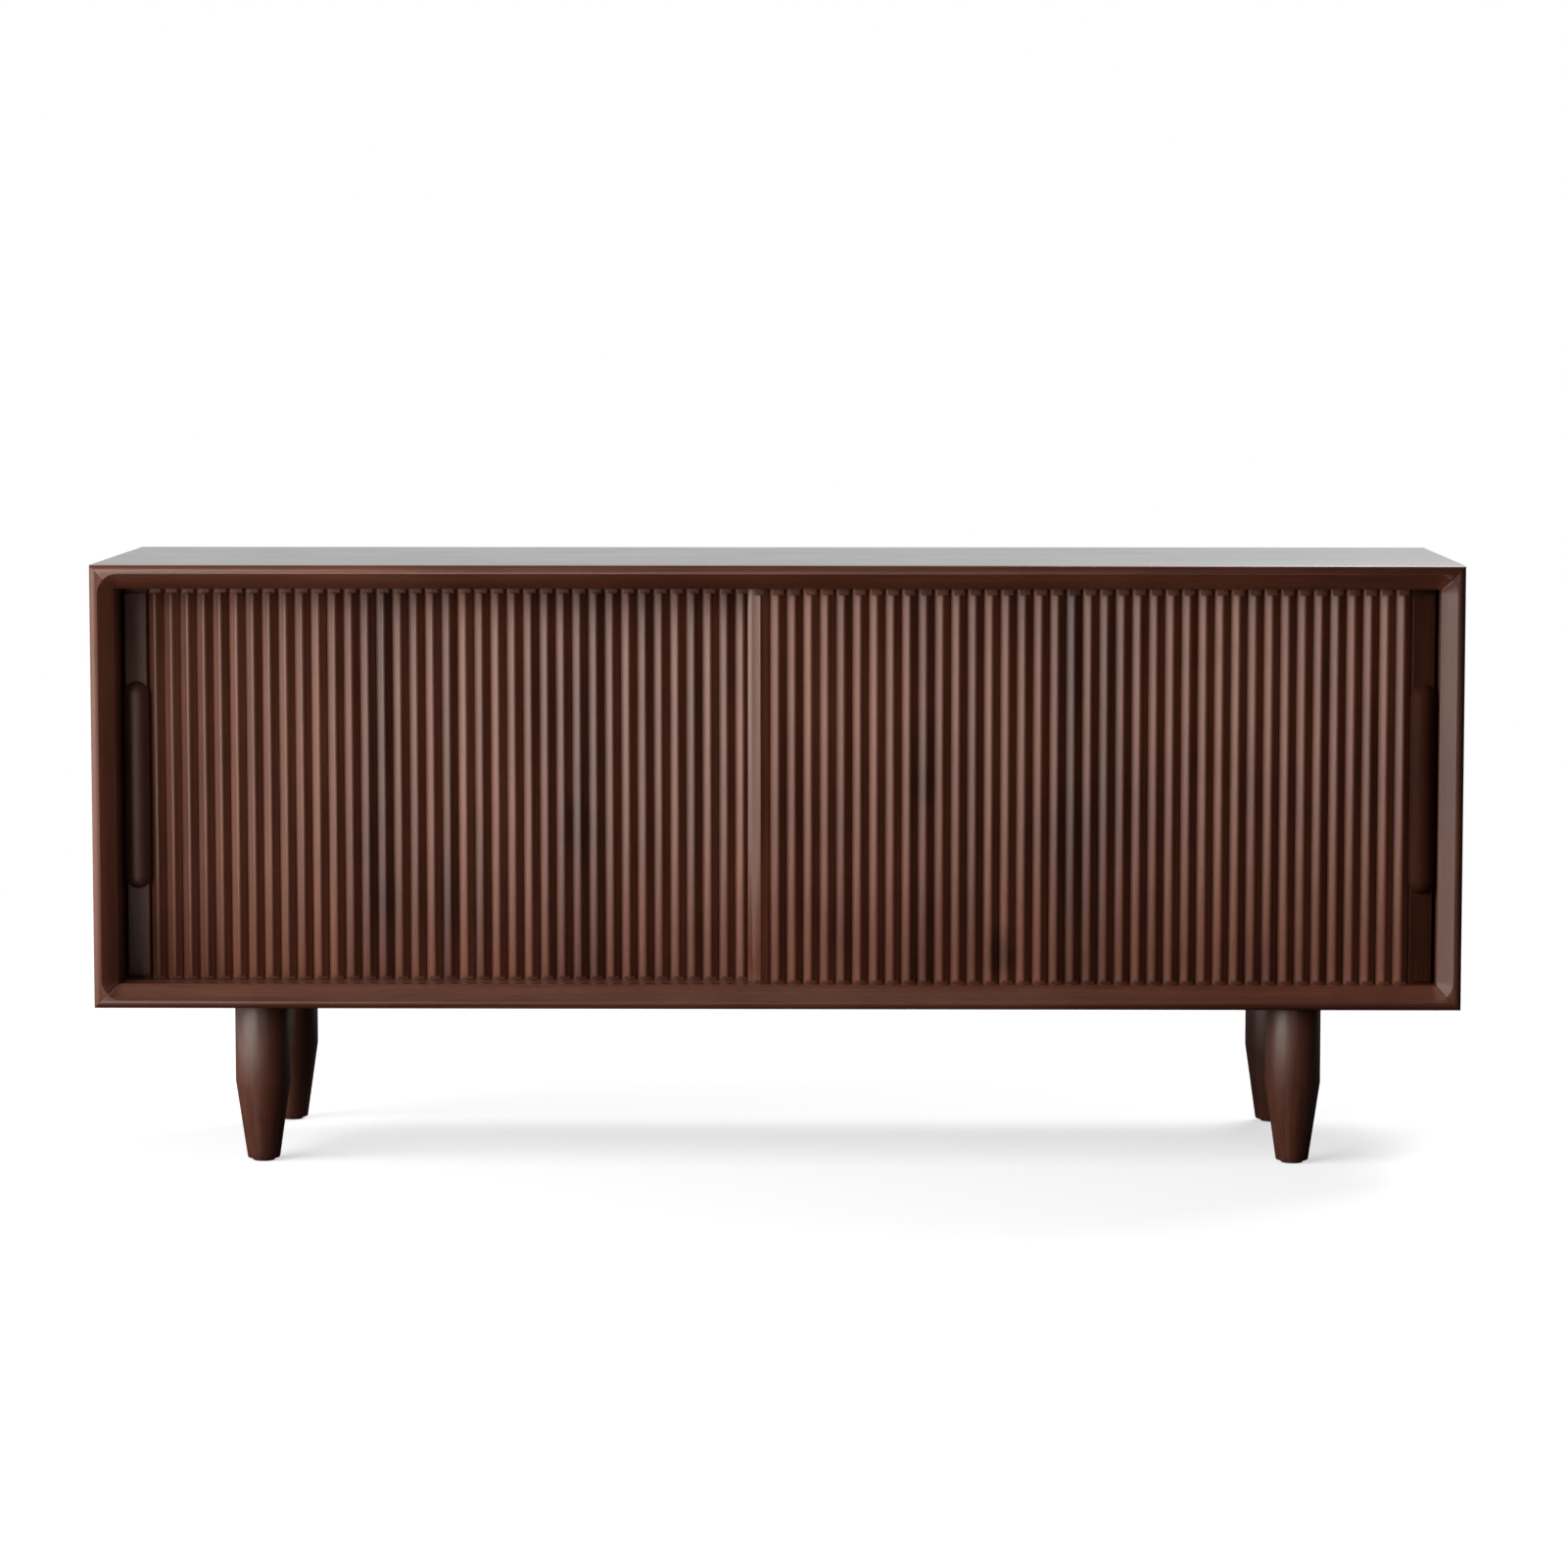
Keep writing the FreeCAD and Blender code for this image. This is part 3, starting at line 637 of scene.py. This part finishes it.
def back_screws():
    """Screws round the back panel and down its middle, into the partition."""
    low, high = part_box("back_panel")
    places = []
    for z in (low.z + BACK_SCREW_INSET, high.z - BACK_SCREW_INSET):
        for x in spread(low.x + BACK_SCREW_END_INSET, high.x - BACK_SCREW_END_INSET, BACK_SCREWS_ALONG):
            places.append((x, high.y, z))
    middle = (low.x + high.x) / 2
    for x in (low.x + BACK_SCREW_INSET, middle, high.x - BACK_SCREW_INSET):
        for z in spread(low.z + BACK_SCREW_END_INSET, high.z - BACK_SCREW_END_INSET, BACK_SCREWS_UP):
            places.append((x, high.y, z))
    screws("back_screws", places, TO_THE_BACK, "case")


def batten_screws(batten, way):
    """Screws in the bare face of a batten, which looks to the right or, with minus one, to the left."""
    low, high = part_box(batten)
    x = high.x if way > 0 else low.x
    ys = spread(low.y + BATTEN_SCREW_INSET, high.y - BATTEN_SCREW_INSET, BATTEN_SCREWS)
    places = [(x, y, high.z - BATTEN_SCREW_DROP) for y in ys]
    screws(f"{batten}_screws", places, (way, 0, 0), "case")


def door_screws(side):
    """Screws through the cleat into the lead stile, and through the stile into the pull."""
    low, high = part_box(f"{side}_door_cleat")
    middle = (low.x + high.x) / 2
    zs = spread(low.z + CLEAT_SCREW_INSET, high.z - CLEAT_SCREW_INSET, CLEAT_SCREWS)
    places = [(middle, high.y, z) for z in zs]
    stile_low, stile_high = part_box(f"{side}_door_lead_stile")
    bare = (stile_low.x + low.x) / 2 if side == "left" else (stile_high.x + high.x) / 2
    pull_low, pull_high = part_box(f"{side}_door_pull")
    for z in (pull_low.z + PULL_SCREW_INSET, pull_high.z - PULL_SCREW_INSET):
        places.append((bare, stile_high.y, z))
    screws(f"{side}_door_screws", places, TO_THE_BACK, f"{side}_door")


def floor():
    """A disc that the camera sees as white with the shadow, that throws little light back, and that glows
    towards the large lamp in reflections only, as a painted reflection.
    """
    mesh = bmesh.new()
    bmesh.ops.create_circle(mesh, cap_ends=True, radius=FLOOR_RADIUS, segments=FLOOR_SIDES)
    data = bpy.data.meshes.new("floor")
    mesh.to_mesh(data)
    mesh.free()
    made, nodes = material("floor")
    made.cycles.emission_sampling = "NONE"
    place = nodes.place()
    x, y, _ = nodes.parts(place)
    distance = nodes.vector("LENGTH", nodes.joined(x, y, 0.0))
    far = nodes.between(distance, *FLOOR_FADE)
    shown, glossy = nodes.rays()
    pale = nodes.between(shown, 0.0, 1.0, FLOOR_BOUNCE, FLOOR_COLOUR)
    grey = nodes.math("MULTIPLY", pale, nodes.math("SUBTRACT", 1.0, far))
    plain = nodes.add("ShaderNodeBsdfDiffuse", {"Color": nodes.joined(grey, grey, grey)}).outputs[0]
    glow = nodes.math("MULTIPLY", shown, nodes.between(far, 0.0, 1.0, FLOOR_GLOW, 1.0))
    # A patch towards the large lamp glows for reflections only: a painted reflection
    aside = nodes.vector("DOT_PRODUCT", place, FLOOR_PAINTED_REFLECTION_SIDE)
    painted_reflection = nodes.between(aside, *FLOOR_PAINTED_REFLECTION_REACH, 0.0, FLOOR_PAINTED_REFLECTION_GLOW)
    glow = nodes.math("MULTIPLY_ADD", glossy, painted_reflection, glow)
    light = nodes.add("ShaderNodeEmission", {"Strength": glow}).outputs[0]
    both = nodes.add("ShaderNodeAddShader", {0: plain, 1: light}).outputs[0]
    nodes.add("ShaderNodeOutputMaterial", {"Surface": both})
    data.materials.append(made)
    piece = bpy.data.objects.new("floor", data)
    bpy.context.scene.collection.objects.link(piece)


def room():
    """White where the camera looks, bright behind the object for reflections, and dim for the rest."""
    world = bpy.data.worlds.new("room")
    bpy.context.scene.world = world
    world.use_nodes = True
    nodes = Nodes(world.node_tree)
    direction = nodes.parts(nodes.add("ShaderNodeTexCoord").outputs["Generated"])
    behind = nodes.between(direction[Y], *GLOW_BEHIND)
    above = nodes.between(direction[Z], *GLOW_ABOVE)
    glow = nodes.math("MULTIPLY", behind, above)
    glow = nodes.between(glow, 0.0, 1.0, ROOM_FRONT_GLOW, ROOM_BACK_GLOW)
    shown, glossy = nodes.rays()
    glossy = nodes.math("SUBTRACT", glossy, nodes.math("MULTIPLY", glossy, shown))
    rest = nodes.math("SUBTRACT", 1.0, nodes.math("MAXIMUM", shown, glossy))
    strength = nodes.math("MULTIPLY_ADD", glossy, glow, shown)
    strength = nodes.math("MULTIPLY_ADD", rest, ROOM_LIGHT, strength)
    colour = nodes.mix(glossy, WHITE, ROOM_GLOW_TINT)
    background = nodes.add("ShaderNodeBackground", {"Color": colour, "Strength": strength})
    nodes.add("ShaderNodeOutputWorld", {"Surface": background.outputs[0]})


def lamp(name, place, aim, size, power):
    data = bpy.data.lights.new(name, "AREA")
    data.shape = "RECTANGLE"
    data.size, data.size_y = size
    data.energy = power
    made = bpy.data.objects.new(name, data)
    made.location = place
    made.rotation_euler = (Vector(aim) - Vector(place)).to_track_quat("-Z", "Y").to_euler()
    bpy.context.scene.collection.objects.link(made)


def camera():
    data = bpy.data.cameras.new("camera")
    data.lens = CAMERA_LENS
    data.sensor_width = CAMERA_SENSOR
    made = bpy.data.objects.new("camera", data)
    made.location = CAMERA_PLACE
    made.rotation_euler = (QUARTER_TURN - CAMERA_PITCH, 0, CAMERA_YAW)
    bpy.context.scene.collection.objects.link(made)
    bpy.context.scene.camera = made


# Finishes
SMOOTHING = smoothing(SHARP_ANGLE)
CASE_LONG = walnut("case_long_grain", X, CASE_TONES, *CASE_LACQUER)
# Each side board gets its painted lit or painted shaded copy of the walnut
SIDE_BOARDS_PAINTED_LIGHT = {side: walnut(f"{side}_board", Z, SIDE_BOARD_PAINTED_LIGHT_TONES[side], *SIDE_LACQUER) for side in SIDES}
UPRIGHT = walnut("walnut_upright_grain", Z, SLAT_TONES, *CASE_LACQUER)
TURNED = walnut("walnut_turned", Z, DARK_TONES, *LEG_LACQUER)
# The left stile and pull get walnut painted paler, as painted light in the shade of the left side
STILE_FINISHES_LEFT_PAINTED_LIGHTER = {side: walnut(f"walnut_{side}_stile", Z, STILE_TONES_LEFT_PAINTED_LIGHTER[side], *STILE_LACQUERS[side]) for side in SIDES}
SLATS = {side: walnut(f"walnut_{side}_slats", Z, SLAT_TONES, *SLAT_LACQUERS[side], side) for side in SIDES}
INSIDE_LONG = walnut("inside_long_grain", X, INSIDE_TONES, *INSIDE_LACQUER)
INSIDE_UPRIGHT = walnut("inside_upright_grain", Z, INSIDE_TONES, *INSIDE_LACQUER)
INSIDE_DEEP = walnut("inside_deep_grain", Y, INSIDE_TONES, *INSIDE_LACQUER)
PLY = walnut("back_veneer", X, PLY_TONES, *PLY_LACQUER)
CANVAS = canvas("cotton_duck")
STEEL = steel("plated_steel")
NYLON = nylon("glide_nylon")

# The case
for board in ("top_panel", "bottom_panel"):
    dress(board, CASE_LONG, CASE_EDGE)
for side in SIDES:
    dress(f"{side}_side_panel", SIDE_BOARDS_PAINTED_LIGHT[side], CASE_EDGE)
for leg in ("leg_front_left", "leg_front_right", "leg_back_left", "leg_back_right"):
    dress(leg, TURNED, LEG_EDGE)
for board in ("left_shelf", "right_shelf", "mitre_splines"):
    dress(board, INSIDE_LONG, SHELF_EDGE)
for batten in ("left_outer_batten", "left_inner_batten", "right_inner_batten", "right_outer_batten"):
    dress(batten, INSIDE_DEEP, BATTEN_EDGE)
dress("centre_partition", INSIDE_UPRIGHT, BATTEN_EDGE)
dress("back_panel", PLY, CASE_EDGE)
dress("leg_bolts", STEEL, BOLT_EDGE)
dress("foot_glides", NYLON, GLIDE_EDGE)

# The doors
for side in SIDES:
    dress(f"{side}_door_slats", SLATS[side], SLAT_EDGE)
    dress(f"{side}_door_lead_stile", STILE_FINISHES_LEFT_PAINTED_LIGHTER[side], STILE_EDGE)
    dress(f"{side}_door_trailing_stile", UPRIGHT, TRAILING_EDGE)
    dress(f"{side}_door_pull", STILE_FINISHES_LEFT_PAINTED_LIGHTER[side], STILE_EDGE)
    dress(f"{side}_door_cleat", INSIDE_UPRIGHT, CLEAT_EDGE)
    dress(f"{side}_door_canvas", CANVAS, CANVAS_EDGE)
    canvas_sheet(side)

# The screws
back_screws()
batten_screws("left_outer_batten", 1)
batten_screws("left_inner_batten", -1)
batten_screws("right_inner_batten", 1)
batten_screws("right_outer_batten", -1)
for side in SIDES:
    door_screws(side)

# The studio
floor()
room()
lamp("key_light", KEY_PLACE, KEY_AIM, KEY_SIZE, KEY_POWER)
lamp("top_light", TOP_PLACE, TOP_AIM, TOP_SIZE, TOP_POWER)
lamp("fill_light", FILL_PLACE, FILL_AIM, FILL_SIZE, FILL_POWER)
lamp("back_light", BACK_PLACE, BACK_AIM, BACK_SIZE, BACK_POWER)
camera()
bpy.context.scene.view_settings.view_transform = "Standard"
